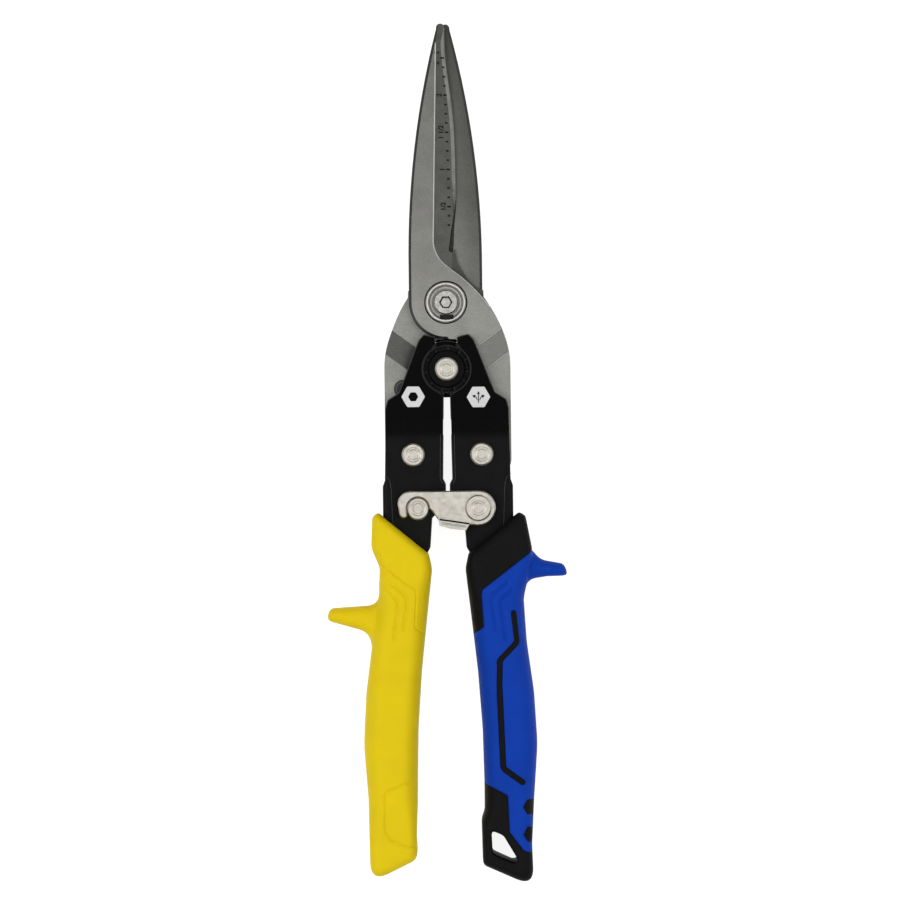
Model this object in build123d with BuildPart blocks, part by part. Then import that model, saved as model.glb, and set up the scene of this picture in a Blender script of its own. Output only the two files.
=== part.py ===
"""Long-cut aviation snips: compound-leverage tin snips, latched shut and lying flat.

Frame: +Y runs from the grips to the blade tips, +X to the right, +Z up from the surface the
snips lie on. The origin is under the middle of the tool, on that surface. Millimetres.

Seen from above, the front blade is the upper one. Its tip is on the left and its tail is pinned
to the right handle. The back blade is the same forging turned over. The handles turn on each
other at the handle pivot, and push the blade tails apart through the two link rivets.
"""
import os

from build123d import *

os.makedirs("parts", exist_ok=True)

# ---- driving dimensions ------------------------------------------------------------------
SHEAR_Z = 11.0            # height of the plane where the blades slide on each other

# pivots, in plan
MAIN_PIVOT = (0, 51.2)    # blade on blade
HANDLE_PIVOT = (0, 28.4)  # handle on handle
LINK_PIVOT = (11.7, -0.8)  # blade tail on handle, right side (the left one is mirrored)
LATCH_PIVOT = (10.3, -19.2)
CATCH = (-10.3, -19.2)

# blades
BLADE_T = 4.5             # thickness of the forging
TAIL_DROP = BLADE_T / 2   # both tails are cranked to the middle plane
CRANK_RUN = 8.0           # length of the slope of the crank
BOSS_R = 12.6
EDGE_W = 1.5              # thickness left at the cutting edge
LAND_BEVEL = 0.9          # along the outer side of the land and round the boss

# main pivot hardware
BOLT_R = 3.0
BOLT_HEAD_R = 4.2
BOLT_HEAD_TOP = 6.0       # above the shear plane
HEX_KEY = 4.0             # across flats
HEX_DEPTH = 2.2
WELL_R = 7.4              # counterbore for the cup washer
WELL_DEPTH = 1.5
CUP_R = 6.95
CUP_FLOOR = 1.2           # thickness of the cup washer under the bolt's head
NOTCH = (4.6, 1.6)        # slot for a key in the cup washer's rim, and its middle
NOTCH_X = 0.3
BACK_WASHER_T = 1.0
NUT_FLATS = 13.0
NUT_H = SHEAR_Z - BLADE_T - BACK_WASHER_T

# fits
RUNNING = 0.06            # radial clearance of a turning rivet
OPEN_PIVOT = 0.40         # radial clearance where the linkage's loop is left open

# handle frames: each one stamping, two cheeks joined by a web
CHEEK_IN = 2.55           # inner face of a cheek, from the shear plane
CHEEK_T = 2.0
PAD_IN = 4.8              # the same where the cheek steps out to clear the blades
PAD_T = 1.8
STEP_LOW = 6.2            # y where the step starts and ends
STEP_HIGH = 11.0
BEND_R = 1.6              # outside of the fold between a cheek and the web
RECESS_R = 8.8            # dished seat round the handle pivot
RIM_T = 0.5               # wall of the dish
LAP_R = 8.0
INNER_LAP_R = 9.6         # left handle, filling the gap up to the blades' boss
LAP_T = 1.5
LAP_INNER = 2.6           # inner face of the left handle's lap, from the shear plane
LAP_OUTER = 4.2           # inner face of the right handle's lap
CHEEK_OUT = CHEEK_IN + CHEEK_T
PAD_OUT = PAD_IN + PAD_T
LAP_TOP = LAP_OUTER + LAP_T

# rivets and covers
RIVET_R = 2.5
HANDLE_RIVET_R = 3.0
HEAD_R = 3.95
HEAD_T = 1.2
HEAD_BEVEL = 0.5
LATCH_HEAD_R = 4.5
RING_R = 2.1              # shallow ring pressed into each head by the riveting tool
RING_W = 0.5
RING_DEPTH = 0.15
COVER_R = 6.5
COVER_T = 1.2

# latch
LATCH_LIFT = 1.45         # washer under the latch, a little taller than the catch stud's head
LATCH_T = 1.8
LATCH_END_R = 5.95
SLOT_R = 3.85
TAB_H = 4.6               # thumb tab, from the latch's underside

# torsion spring round the handle pivot
WIRE_R = 0.6
COIL_R = 5.0
COIL_PITCH = 1.25
COIL_TURNS = 2.5
LEG_L = 19.0

# grips
GRIP_T = 22.0             # the grips rest on the surface
GRIP_ROUND = 3.5
GUARD_LOW = 4.0
CORE_SKIN = 2.5           # thickness of the soft cover over the hard core

LEFT = -1
RIGHT = 1
FAR = 200                 # beyond every part of the tool

pieces = {}


def keep(name, part):
    """Label a finished piece and put it on the list to write."""
    part.label = name
    pieces[name] = part


def level(height):
    """The horizontal plane at a height above the shear plane."""
    return Plane.XY.offset(SHEAR_Z + height)


def on_side(points, side):
    """Mirror a list of right-hand points to a side of the tool."""
    return [(side * x, y) for x, y in points]


# ---- blades --------------------------------------------------------------------------------
# The front blade's outline, with its tip up and its tail at the lower right.
TIP = (-0.6, 146.6)
LAND_EDGE = [(-2.3, 144.9), (-9.8, 107.0), (-12.6, 68.0)]
CUTTING_EDGE = [(0.6, 144.9), (1.0, 133.0), (2.9, 118.0), (3.8, 100.0), (3.8, 86.6)]
THROAT = [(3.8, 86.6), (3.3, 82.5), (2.0, 75.5), (1.2, 69.4)]
SHOULDER = [(3.1, 69.6), (3.9, 65.9), (5.8, 61.9), (9.3, 57.4), (12.9, 55.3)]
SHOULDER_END = (13.0, 53.0)  # where the shoulder turns into the tail
TAIL_CURVE = [(-3.1, 42.8), (0, 29.0)]  # the tail's outer side, from its widest line
FRONT_TAIL_X = 21.9       # the widest line of each tail
BACK_TAIL_X = 21.3
TAIL_LOW = -9.3
TAIL_CORNER = 7.0
TAIL_INNER = [(5.8, -6.5), (5.8, 11.0), (9.6, 19.0), (10.6, 28.4), (8.2, 35.4), (3.0, 38.6)]

# the ground bevel behind the cutting edge, and where the grinding wheel ran out
BEVEL_RUNOUT = [(-3.8, 86.0), (-4.4, 76.5), (-2.5, 66.7), (4.4, 60.5), (13.0, 51.9), (15.8, 48.6)]
BEVEL_TOP = (-2.4, 147.0)
BEVEL_TILT = 1.3          # degrees the bevel's upper line leans from the tool's axis
BEVEL_WIDTH = 6.6

CRANK_START = (17.6, 41.2)
CRANK_ANGLE = 36          # degrees of the crank line from the X axis


def blade(link_hole_r, tail_x, well):
    """The front blade. The back one is much the same forging, without the well, turned over."""
    tail_outer = [SHOULDER_END] + [(tail_x + x, y) for x, y in TAIL_CURVE]
    crank = Vector(0, -1, 0).rotate(Axis.Z, CRANK_ANGLE)
    across_crank = Plane(
        origin=(*CRANK_START, SHEAR_Z), x_dir=crank, z_dir=crank.cross(Vector(0, 0, 1))
    )
    along_bevel = Plane(
        origin=(*BEVEL_TOP, SHEAR_Z), x_dir=(1, 0, 0), z_dir=(0, -1, 0)
    ).rotated((0, 0, -BEVEL_TILT))

    with BuildPart() as bevel:
        with BuildSketch(level(0)):
            with BuildLine():
                top = Line(BEVEL_TOP, BEVEL_RUNOUT[0])
                runout = Spline(*BEVEL_RUNOUT, tangents=[top % 1, (1, -1.1)])
                Polyline(runout @ 1, (20, BEVEL_RUNOUT[-1][1]), (20, BEVEL_TOP[1]), BEVEL_TOP)
            make_face()
        extrude(amount=BLADE_T + 1)
        with BuildSketch(along_bevel):
            with BuildLine():
                Polyline(
                    (0, BLADE_T),
                    (BEVEL_WIDTH, EDGE_W),
                    (FAR, EDGE_W),
                    (FAR, BLADE_T + 1),
                    (0, BLADE_T + 1),
                    close=True,
                )
            make_face()
        extrude(amount=FAR, both=True, mode=Mode.INTERSECT)

    with BuildPart() as land_envelope:
        with BuildSketch(level(BLADE_T / 2)):
            with BuildLine():
                land = ThreePointArc(*LAND_EDGE)
                Line(land @ 1, (-BOSS_R, MAIN_PIVOT[1]))
                round_boss = CenterArc(MAIN_PIVOT, BOSS_R, 180, 90)
                Polyline(round_boss @ 1, (0, -FAR), (FAR, -FAR), (FAR, FAR), (LAND_EDGE[0][0], FAR))
                Line((LAND_EDGE[0][0], FAR), land @ 0)
            make_face()
        extrude(amount=BLADE_T / 2 - LAND_BEVEL)
        extrude(land_envelope.faces().sort_by(Axis.Z)[-1], amount=LAND_BEVEL, taper=45)
        mirror(about=level(BLADE_T / 2))
        extrude(land_envelope.faces().sort_by(Axis.Z)[0], amount=BLADE_T)

    with BuildPart() as body:
        with BuildSketch(level(-TAIL_DROP)):
            with BuildLine():
                land = ThreePointArc(*LAND_EDGE)
                Line(land @ 1, (-BOSS_R, MAIN_PIVOT[1]))
                boss = CenterArc(MAIN_PIVOT, BOSS_R, 180, 78)
                inner = Polyline(boss @ 1, *reversed(TAIL_INNER))
                Polyline(inner @ 1, (8.0, TAIL_LOW), (tail_x - TAIL_CORNER, TAIL_LOW))
                CenterArc((tail_x - TAIL_CORNER, TAIL_LOW + TAIL_CORNER), TAIL_CORNER, 270, 90)
                Line((tail_x, TAIL_LOW + TAIL_CORNER), tail_outer[-1])
                Spline(*reversed(tail_outer), tangents=[(0, 1), (-1, 1.4)])
                Line(SHOULDER_END, SHOULDER[-1])
                shoulder = Spline(*reversed(SHOULDER), tangents=[(-1, 0.4), (-1, 4)])
                ThreePointArc(shoulder @ 1, (2.1, 68.4), THROAT[-1])
                Polyline(*reversed(THROAT))
                edge = Spline(*reversed(CUTTING_EDGE))
                ThreePointArc(edge @ 1, TIP, land @ 0)
            make_face()
        extrude(amount=BLADE_T + TAIL_DROP)
        with BuildSketch(across_crank):
            with BuildLine():
                Polyline(
                    (-FAR, 0),
                    (0, 0),
                    (CRANK_RUN, -TAIL_DROP),
                    (FAR, -TAIL_DROP),
                    (FAR, BLADE_T - TAIL_DROP),
                    (CRANK_RUN, BLADE_T - TAIL_DROP),
                    (0, BLADE_T),
                    (-FAR, BLADE_T),
                    close=True,
                )
            make_face()
        extrude(amount=FAR, both=True, mode=Mode.INTERSECT)
        add(land_envelope.part, mode=Mode.INTERSECT)
        add(bevel.part, mode=Mode.SUBTRACT)
        with Locations((*MAIN_PIVOT, SHEAR_Z)):
            Cylinder(BOLT_R + RUNNING, 4 * BLADE_T, mode=Mode.SUBTRACT)
        with Locations((*LINK_PIVOT, SHEAR_Z)):
            Cylinder(link_hole_r, 4 * BLADE_T, mode=Mode.SUBTRACT)
        if well:
            with BuildSketch(level(BLADE_T)):
                with Locations(MAIN_PIVOT):
                    Circle(WELL_R)
            extrude(amount=-WELL_DEPTH, mode=Mode.SUBTRACT)
    return body.part


keep("front_blade", blade(RIVET_R + RUNNING, FRONT_TAIL_X, True))
turned_over = Axis((0, 0, SHEAR_Z), (0, 1, 0))
back_blade = blade(RIVET_R + OPEN_PIVOT, BACK_TAIL_X, False)
keep("back_blade", back_blade.rotate(turned_over, 180))

# ---- pivot hardware ------------------------------------------------------------------------
WELL_FLOOR = BLADE_T - WELL_DEPTH
HEAD_SEAT = WELL_FLOOR + CUP_FLOOR

with BuildPart() as pivot_bolt:
    with BuildSketch(level(-SHEAR_Z)):
        with Locations(MAIN_PIVOT):
            Circle(BOLT_R)
    extrude(amount=SHEAR_Z + BOLT_HEAD_TOP)
    with BuildSketch(level(HEAD_SEAT)):
        with Locations(MAIN_PIVOT):
            Circle(BOLT_HEAD_R)
    extrude(amount=BOLT_HEAD_TOP - HEAD_SEAT)
    chamfer(pivot_bolt.edges().filter_by(GeomType.CIRCLE).sort_by(Axis.Z)[-1], 0.4)
    with BuildSketch(level(BOLT_HEAD_TOP)):
        with Locations(MAIN_PIVOT):
            RegularPolygon(HEX_KEY / 2, 6, major_radius=False)
    extrude(amount=-HEX_DEPTH, mode=Mode.SUBTRACT)
keep("pivot_bolt", pivot_bolt.part)

# The cup washer sits in the well. Its rim stands round the bolt head, with a notch for a key.
with BuildPart() as pivot_cup_washer:
    with BuildSketch(Plane.XZ.offset(-MAIN_PIVOT[1])):
        with BuildLine():
            Polyline(
                (BOLT_R, SHEAR_Z + WELL_FLOOR),
                (CUP_R, SHEAR_Z + WELL_FLOOR),
                (CUP_R, SHEAR_Z + BLADE_T + 0.3),
                (CUP_R - 0.4, SHEAR_Z + BLADE_T + 0.8),
                (CUP_R - 0.8, SHEAR_Z + BLADE_T + 0.8),
                (BOLT_HEAD_R + 1.1, SHEAR_Z + HEAD_SEAT + 0.2),
                (BOLT_HEAD_R + 0.3, SHEAR_Z + HEAD_SEAT),
                (BOLT_R, SHEAR_Z + HEAD_SEAT),
                close=True,
            )
        make_face()
    revolve(axis=Axis((*MAIN_PIVOT, 0), (0, 0, 1)))
    with BuildSketch(level(WELL_FLOOR + CUP_FLOOR / 2)):
        with Locations((MAIN_PIVOT[0] + NOTCH_X, MAIN_PIVOT[1] - BOLT_HEAD_R - NOTCH[1] / 2)):
            Rectangle(*NOTCH)
    extrude(amount=BLADE_T, mode=Mode.SUBTRACT)
keep("pivot_cup_washer", pivot_cup_washer.part)

with BuildPart() as pivot_back_washer:
    with BuildSketch(level(-BLADE_T - BACK_WASHER_T)):
        with Locations(MAIN_PIVOT):
            Circle(NUT_FLATS / 2 + 1.5)
            Circle(BOLT_R, mode=Mode.SUBTRACT)
    extrude(amount=BACK_WASHER_T)
keep("pivot_back_washer", pivot_back_washer.part)

with BuildPart() as pivot_nut:
    with BuildSketch(level(-SHEAR_Z)):
        with Locations(MAIN_PIVOT):
            RegularPolygon(NUT_FLATS / 2, 6, major_radius=False)
    extrude(amount=NUT_H)
    with BuildSketch(level(-SHEAR_Z)):
        with Locations(MAIN_PIVOT):
            Circle(NUT_FLATS / 2 + 0.2)
    extrude(amount=NUT_H, taper=-30, mode=Mode.INTERSECT)
    with Locations((*MAIN_PIVOT, NUT_H / 2)):
        Cylinder(BOLT_R, NUT_H, mode=Mode.SUBTRACT)
keep("pivot_nut", pivot_nut.part)


def rivet(place, shank_r, below, above, head_r=HEAD_R):
    """A rivet between two heights from the shear plane, with a head at each end."""
    foot = below - HEAD_T
    top = above + HEAD_T
    half = [
        (shank_r, above),
        (head_r, above),
        (head_r, top - HEAD_BEVEL),
        (head_r - HEAD_BEVEL, top),
        (RING_R + RING_W, top),
        (RING_R + RING_W / 2, top - RING_DEPTH),
        (RING_R - RING_W / 2, top - RING_DEPTH),
        (RING_R - RING_W, top),
        (0, top),
        (0, foot),
        (head_r - HEAD_BEVEL, foot),
        (head_r, foot + HEAD_BEVEL),
        (head_r, below),
        (shank_r, below),
    ]
    with BuildPart() as body:
        with BuildSketch(Plane.XZ.offset(-place[1])):
            with BuildLine():
                Polyline(*[(place[0] + r, SHEAR_Z + z) for r, z in half], close=True)
            make_face()
        revolve(axis=Axis((*place, 0), (0, 0, 1)))
    return body.part


LATCH_LOW = CHEEK_OUT + LATCH_LIFT
LATCH_HIGH = LATCH_LOW + LATCH_T
keep("right_link_rivet", rivet(LINK_PIVOT, RIVET_R, -CHEEK_OUT, CHEEK_OUT))
left_link = (-LINK_PIVOT[0], LINK_PIVOT[1])
keep("left_link_rivet", rivet(left_link, RIVET_R, -CHEEK_OUT, CHEEK_OUT))
keep("catch_stud", rivet(CATCH, RIVET_R, -CHEEK_OUT, CHEEK_OUT))
keep("latch_rivet", rivet(LATCH_PIVOT, RIVET_R, -CHEEK_OUT, LATCH_HIGH, LATCH_HEAD_R))
cover_top = LAP_TOP + COVER_T
keep("handle_rivet", rivet(HANDLE_PIVOT, HANDLE_RIVET_R, -cover_top, cover_top))


def washer(place, outer_r, inner_r, low, thickness, bevel):
    """A flat ring on the shear plane's scale of heights, with a bevelled upper edge."""
    with BuildPart() as body:
        with BuildSketch(level(low)):
            with Locations(place):
                Circle(outer_r)
                Circle(inner_r, mode=Mode.SUBTRACT)
        extrude(amount=thickness)
        if bevel:
            rim = body.edges().filter_by(GeomType.CIRCLE).group_by(Axis.Z)[-1].sort_by(SortBy.RADIUS)
            chamfer(rim[-1], bevel)
    return body.part


keep("latch_spacer", washer(LATCH_PIVOT, 4.9, RIVET_R, CHEEK_OUT, LATCH_LIFT, 0))
front_cover = washer(HANDLE_PIVOT, COVER_R, HANDLE_RIVET_R, LAP_TOP, COVER_T, 0.5)
keep("pivot_cover_front", front_cover)
keep("pivot_cover_back", front_cover.rotate(turned_over, 180))


# ---- torsion spring ------------------------------------------------------------------------
# The coil lies round the handle rivet, and its legs press the two blade tails apart.
coil_low = SHEAR_Z - COIL_TURNS * COIL_PITCH / 2
with BuildPart() as handle_spring:
    with BuildLine() as wire:
        coil = Helix(
            pitch=COIL_PITCH,
            height=COIL_TURNS * COIL_PITCH,
            radius=COIL_R,
            center=(*HANDLE_PIVOT, coil_low),
        )
        Line(coil @ 0 - (coil % 0) * LEG_L, coil @ 0)
        Line(coil @ 1, coil @ 1 + (coil % 1) * LEG_L)
    start = wire.wires()[0]
    with BuildSketch(Plane(origin=start @ 0, z_dir=start % 0)):
        Circle(WIRE_R)
    sweep(path=start, is_frenet=True)
keep("handle_spring", handle_spring.part)


# ---- handle frames -------------------------------------------------------------------------
EAR = [(3.8, 36.0), (3.8, 39.2), (7.6, 40.1), (9.3, 38.2), (11.0, 34.0), (15.2, 23.0)]
SHOULDERS = [(15.2, 23.0), (16.4, 20.2), (20.2, 17.8), (21.0, 15.0), (21.5, -9.4)]
WEB_OUTER = [(22.3, -11.6), (22.3, -36.0), (21.6, -50.0), (24.2, -84.0), (25.0, -106.0)]
TANG_INNER = [(15.5, -106.0), (14.8, -84.0), (11.4, -45.0), (8.6, -36.5), (6.3, -32.5)]
STOP = [(5.6, -22.5), (0.8, -17.5), (0.8, -10.8), (1.7, -9.2), (1.2, 19.6)]
FRAME_OUTLINE = EAR + SHOULDERS[1:] + WEB_OUTER + TANG_INNER + STOP
WEB_T = 2.0
WEB_TOP = -13.0
FOLD_X = 20.5             # the folds' edges lie further out than this
# the part of the pivot's dish that each handle carries
DISH_SECTOR = [(3.4, 28.4), (3.4, 45.0), (25.0, 45.0), (25.0, 19.0), (1.2, 15.0), (1.2, 28.4)]


def handle_frame(side, lap_in, holes):
    """One stamping: front cheek, the same behind, and a web down the outer edge."""
    with BuildPart() as cheek:
        with BuildSketch(level(0)):
            with BuildLine():
                Polyline(*on_side(FRAME_OUTLINE, side), close=True)
            make_face()
        extrude(amount=PAD_OUT)
        with BuildSketch(Plane.YZ):
            with BuildLine():
                Polyline(
                    (-FAR, SHEAR_Z + CHEEK_IN),
                    (STEP_LOW, SHEAR_Z + CHEEK_IN),
                    (STEP_HIGH, SHEAR_Z + PAD_IN),
                    (FAR, SHEAR_Z + PAD_IN),
                    (FAR, SHEAR_Z + PAD_OUT),
                    (STEP_HIGH, SHEAR_Z + PAD_OUT),
                    (STEP_LOW, SHEAR_Z + CHEEK_OUT),
                    (-FAR, SHEAR_Z + CHEEK_OUT),
                    close=True,
                )
            make_face()
        extrude(amount=FAR, both=True, mode=Mode.INTERSECT)
        # the dished seat: a ring on this handle's own side, and a lap over the other handle
        with BuildSketch(level(0)):
            with Locations(HANDLE_PIVOT):
                Circle(RECESS_R)
        extrude(amount=PAD_OUT, mode=Mode.SUBTRACT)
        with BuildSketch(level(lap_in)):
            with BuildLine():
                Polyline(*on_side(DISH_SECTOR, side), close=True)
            make_face()
            with Locations(HANDLE_PIVOT):
                Circle(RECESS_R + RIM_T, mode=Mode.INTERSECT)
                Circle(RECESS_R - RIM_T, mode=Mode.SUBTRACT)
        extrude(amount=PAD_OUT - lap_in)
        with BuildSketch(level(lap_in)):
            with BuildLine():
                Polyline(*on_side(DISH_SECTOR, side), close=True)
            make_face()
            with Locations(HANDLE_PIVOT):
                Circle(RECESS_R, mode=Mode.INTERSECT)
                Circle(LAP_R if side == RIGHT else INNER_LAP_R)
                Circle(HANDLE_RIVET_R + (RUNNING if side == LEFT else 0), mode=Mode.SUBTRACT)
        extrude(amount=LAP_T)

    with BuildPart() as body:
        add(cheek.part)
        mirror(about=level(0))
        with BuildSketch(level(-CHEEK_OUT)):
            with BuildLine():
                outer = [(WEB_OUTER[0][0], WEB_TOP)] + WEB_OUTER[1:]
                inner = [(x - WEB_T, y) for x, y in reversed(outer)]
                Polyline(*on_side(outer + inner, side), close=True)
            make_face()
        extrude(amount=2 * CHEEK_OUT)
        folds = [
            edge
            for edge in body.edges().filter_by(Plane.XY)
            if side * edge.center().X > FOLD_X and edge.center().Y < WEB_TOP
        ]
        fillet(folds, BEND_R)
        for place in holes:
            with Locations((*place, SHEAR_Z)):
                Cylinder(RIVET_R, 4 * CHEEK_OUT, mode=Mode.SUBTRACT)
    return body.part


keep("left_handle_frame", handle_frame(LEFT, LAP_INNER, [left_link, CATCH]))
keep("right_handle_frame", handle_frame(RIGHT, LAP_OUTER, [LINK_PIVOT, LATCH_PIVOT]))


# ---- latch ---------------------------------------------------------------------------------
# A flat hook turning on the right handle, with a tab bent up along its lower edge.
HOOK_TOP = LATCH_PIVOT[1] + LATCH_END_R
HOOK_ROUND = 4.4
HOOK_END_X = -17.2
HOOK_TIP = [(-15.4, -22.3), (-14.0, -21.9)]
HEEL = [(-5.4, -20.2), (-3.4, -23.2), (9.2, -25.05)]
LATCH_EDGE = 0.4          # bevel round the latch's upper face
TAB = [(-3.4, -22.4), (-3.1, -25.1), (0.8, -26.2), (6.0, -26.8), (7.4, -24.4)]
ABOVE_TAB = [(-5.0, -21.4), (-3.1, -23.3), (7.6, -24.9), (9.0, -23.0)]

with BuildPart() as latch:
    with BuildSketch(level(LATCH_LOW)):
        with BuildLine():
            top = Line((LATCH_PIVOT[0], HOOK_TOP), (HOOK_END_X + HOOK_ROUND, HOOK_TOP))
            nose = TangentArc(top @ 1, (HOOK_END_X, HOOK_TOP - HOOK_ROUND), tangent=top % 1)
            side_line = Line(nose @ 1, (HOOK_END_X + 0.5, -20.8))
            tip = ThreePointArc(side_line @ 1, HOOK_TIP[0], HOOK_TIP[1])
            Line(tip @ 1, (CATCH[0] - SLOT_R, CATCH[1]))
            slot = CenterArc(CATCH, SLOT_R, 180, -180)
            heel = Polyline(slot @ 1, *HEEL)
            ThreePointArc(heel @ 1, (LATCH_PIVOT[0] + LATCH_END_R, LATCH_PIVOT[1]), top @ 0)
        make_face()
        with Locations(LATCH_PIVOT):
            Circle(RIVET_R + RUNNING, mode=Mode.SUBTRACT)
    extrude(amount=LATCH_T - LATCH_EDGE)
    extrude(latch.faces().sort_by(Axis.Z)[-1], amount=LATCH_EDGE, taper=45)
    with BuildSketch(level(LATCH_LOW)):
        with BuildLine():
            Polyline(*TAB, close=True)
        make_face()
    extrude(amount=TAB_H)
    with BuildSketch(level(LATCH_HIGH)):
        with BuildLine():
            Polyline(*ABOVE_TAB, close=True)
        make_face()
    extrude(amount=TAB_H, mode=Mode.SUBTRACT)
keep("latch", latch.part)


# ---- grips ---------------------------------------------------------------------------------
# Both grips are two-shot mouldings: a hard core with a collar and an end, and a soft cover.
# All their outlines are given for the right-hand side.
GRIP_TOP = [(24.2, -20.9), (7.4, -34.0), (5.8, -39.5)]
GRIP_INNER = [(5.8, -39.5), (7.4, -55.0), (9.6, -75.0), (11.1, -95.0), (11.4, -119.0)]
GRIP_OUTER = [(28.2, -119.0), (29.6, -100.0), (28.6, -82.0), (26.3, -65.0), (25.4, -47.0)]

RIGHT_COLLAR = [(28.5, -35.5), (28.4, -31.0), (26.0, -22.2)]
RIGHT_END = [(11.4, -122.6), (10.4, -125.5), (10.6, -139.2), (12.2, -141.7), (22.0, -146.1)]
RIGHT_HEEL = [(25.6, -145.6), (27.6, -142.2), (27.7, -134.0)]
RIGHT_GUARD = [(24.0, -34.0), (28.4, -34.0), (33.2, -37.6), (38.9, -38.7), (40.8, -40.6)]
RIGHT_GUARD += [(39.1, -42.7), (31.0, -43.2), (27.2, -45.2), (25.5, -50.0), (22.0, -50.0)]
LEFT_COLLAR = [(23.9, -39.5), (26.1, -32.0), (26.0, -22.2)]
LEFT_END = [(11.9, -132.7), (11.8, -138.0), (14.0, -140.6), (21.6, -143.8)]
LEFT_HEEL = [(25.8, -143.2), (27.5, -140.6), (28.0, -132.5)]
LEFT_GUARD = [(22.0, -45.0), (24.2, -48.6), (25.8, -50.8), (28.6, -52.4), (39.4, -53.2)]
LEFT_GUARD += [(41.4, -54.3), (41.6, -56.2), (40.0, -57.6), (30.0, -60.9), (27.4, -62.4)]
LEFT_GUARD += [(26.0, -67.0), (22.0, -67.0)]

# what the soft cover takes of the outline
COVER_HIGH = [(50.0, -34.0), (28.6, -34.0), (11.5, -47.1), (11.1, -48.9), (11.8, -59.8), (0.0, -68.0)]
RIGHT_COVER_LOW = [(0.0, -107.0), (11.3, -113.0), (19.4, -117.3), (19.8, -129.8), (24.9, -137.2)]
RIGHT_COVER_LOW += [(50.0, -137.6)]
LEFT_COVER_LOW = [(0.0, -112.7), (15.4, -112.9), (22.7, -115.5), (22.7, -130.0), (20.3, -132.3)]
LEFT_COVER_LOW += [(15.1, -134.4), (0.0, -134.4), (0.0, -150.0), (50.0, -150.0)]
CORE = [(9.0, -36.0), (23.6, -34.0), (22.6, -40.0), (22.5, -48.0), (24.0, -65.0), (26.0, -82.0)]
CORE += [(27.0, -100.0), (25.7, -119.0), (25.4, -136.0), (14.0, -136.0), (14.2, -119.0)]
CORE += [(13.8, -95.0), (12.2, -75.0), (10.0, -55.0), (8.4, -40.0)]

# black rib let into the front and back of the right cover, and two hexagons on its outer edge
RIB = [(21.9, -55.1), (23.0, -65.4), (16.6, -71.8), (18.0, -108.4), (24.4, -112.8)]
RIB_W = 1.9
HEXAGONS = [(26.6, -121.5), (26.6, -130.9)]
HEXAGON_R = 2.4

HANG_HOLE = [(13.7, -129.4), (13.8, -137.1), (21.6, -140.2), (22.6, -138.6), (17.9, -131.0)]
HANG_HOLE_ROUND = 0.7


def grip(side, collar, end, heel, guard, cover_low, ribbed):
    """The base and the cover of one grip."""
    with BuildPart() as blank:
        with BuildSketch(Plane.XY):
            with BuildLine():
                Polyline(*on_side(GRIP_TOP, side))
                Spline(*on_side(GRIP_INNER, side))
                Polyline(*on_side([GRIP_INNER[-1]] + end, side))
                Polyline(*on_side([end[-1]] + heel, side))
                Line(*on_side([heel[-1], GRIP_OUTER[0]], side))
                Spline(*on_side(GRIP_OUTER, side))
                Polyline(*on_side([GRIP_OUTER[-1]] + collar + [GRIP_TOP[0]], side))
            make_face()
        extrude(amount=GRIP_T)
        rims = blank.faces().filter_by(Axis.Z).edges()
        chamfer(rims, GRIP_ROUND / 2)
        with BuildSketch(Plane.XY.offset(GUARD_LOW)):
            with BuildLine():
                Polyline(*on_side(guard, side), close=True)
            make_face()
        extrude(amount=GRIP_T - 2 * GUARD_LOW)

    with BuildPart() as cover:
        add(blank.part)
        with BuildSketch(Plane.XY):
            with BuildLine():
                Polyline(*on_side(COVER_HIGH + cover_low, side), close=True)
            make_face()
        extrude(amount=GRIP_T, mode=Mode.INTERSECT)
        with BuildSketch(Plane.XY.offset(CORE_SKIN)):
            with BuildLine():
                Polyline(*on_side(CORE, side), close=True)
            make_face()
        extrude(amount=GRIP_T - 2 * CORE_SKIN, mode=Mode.SUBTRACT)
        if ribbed:
            with BuildSketch(Plane.XY):
                with BuildLine():
                    Polyline(*RIB)
                trace(line_width=RIB_W)
                with Locations(*HEXAGONS):
                    RegularPolygon(HEXAGON_R, 6, rotation=30)
            extrude(amount=GRIP_T, mode=Mode.SUBTRACT)

    with BuildPart() as base:
        add(blank.part)
        add(cover.part, mode=Mode.SUBTRACT)
        with BuildSketch(level(-CHEEK_OUT)):
            with BuildLine():
                Polyline(*on_side(FRAME_OUTLINE, side), close=True)
            make_face()
        extrude(amount=2 * CHEEK_OUT, mode=Mode.SUBTRACT)
        if ribbed:
            with BuildSketch(Plane.XY):
                with BuildLine():
                    Polyline(*HANG_HOLE, close=True)
                make_face()
                fillet(vertices(), HANG_HOLE_ROUND)
            extrude(amount=GRIP_T, mode=Mode.SUBTRACT)
    return base.part, cover.part


base, cover = grip(LEFT, LEFT_COLLAR, LEFT_END, LEFT_HEEL, LEFT_GUARD, LEFT_COVER_LOW, False)
keep("left_grip_base", base)
keep("left_grip_cover", cover)
base, cover = grip(RIGHT, RIGHT_COLLAR, RIGHT_END, RIGHT_HEEL, RIGHT_GUARD, RIGHT_COVER_LOW, True)
keep("right_grip_base", base)
keep("right_grip_cover", cover)

for name, part in pieces.items():
    export_step(part, f"parts/{name}.step")
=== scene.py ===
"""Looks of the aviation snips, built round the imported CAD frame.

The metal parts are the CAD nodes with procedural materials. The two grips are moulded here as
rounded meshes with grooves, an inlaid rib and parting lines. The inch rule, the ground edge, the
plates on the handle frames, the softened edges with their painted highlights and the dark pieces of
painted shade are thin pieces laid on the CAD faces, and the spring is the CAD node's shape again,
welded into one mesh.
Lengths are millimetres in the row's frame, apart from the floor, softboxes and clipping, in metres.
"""

import math

import bmesh
import bpy
import numpy as np
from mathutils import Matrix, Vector
from mathutils.bvhtree import BVHTree
from mathutils.geometry import delaunay_2d_cdt


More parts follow.
